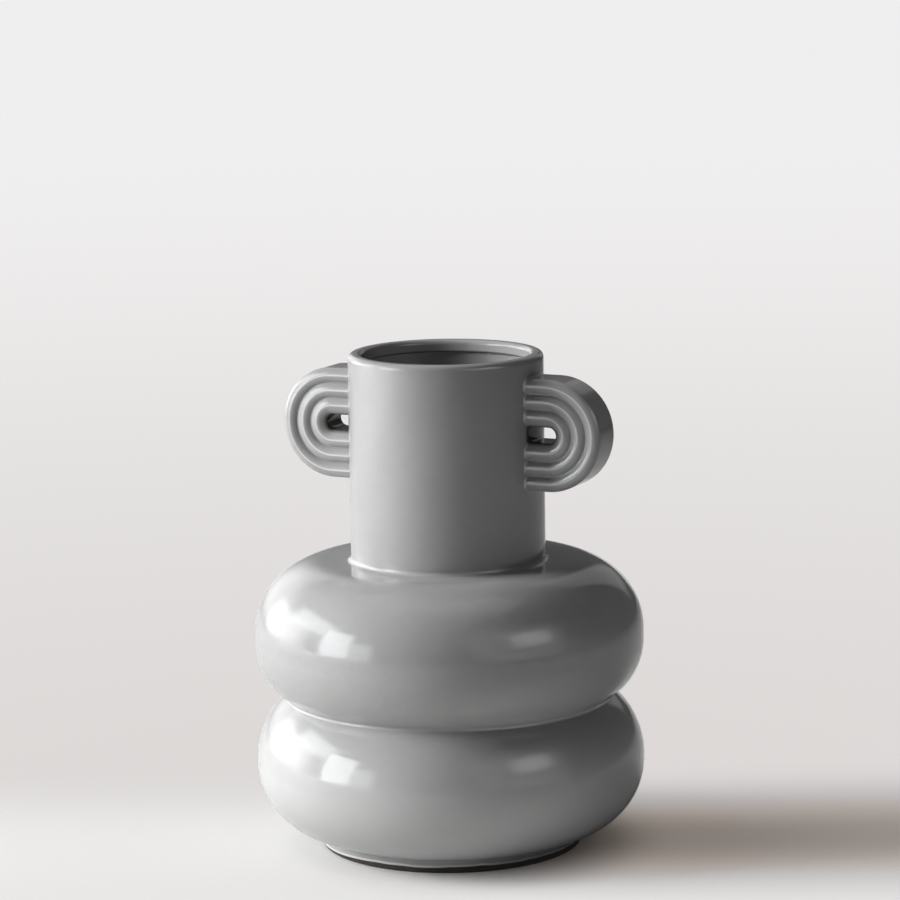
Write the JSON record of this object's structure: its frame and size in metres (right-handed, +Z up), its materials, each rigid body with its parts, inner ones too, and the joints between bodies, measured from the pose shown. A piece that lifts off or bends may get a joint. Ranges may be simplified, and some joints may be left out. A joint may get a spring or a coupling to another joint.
{
  "type": "vase",
  "caption": "Glazed ceramic vase with two stacked squashed rings, a cylindrical neck with a rounded lip, and flat handles of nested coils; holds cut flowers.",
  "frame": {"origin": "middle of the foot ring, on the surface the vase stands on", "axes": "+Z up along the vase's axis, +X towards the right handle, +Y to the back"},
  "size_m": [0.2, 0.2, 0.2554],
  "materials": {
    "glaze": "gloss",
    "bare_clay": "matte"
  },
  "bodies": {
    "root": {"foot_ring": "bare_clay", "base_disc": "glaze", "lower_ring": "glaze", "upper_ring": "glaze", "neck_tube": "glaze", "lip_band": "glaze", "right_outer_coil": "glaze", "right_middle_coil": "glaze", "right_inner_coil": "glaze", "left_outer_coil": "glaze", "left_middle_coil": "glaze", "left_inner_coil": "glaze"}
  },
  "joints": []
}
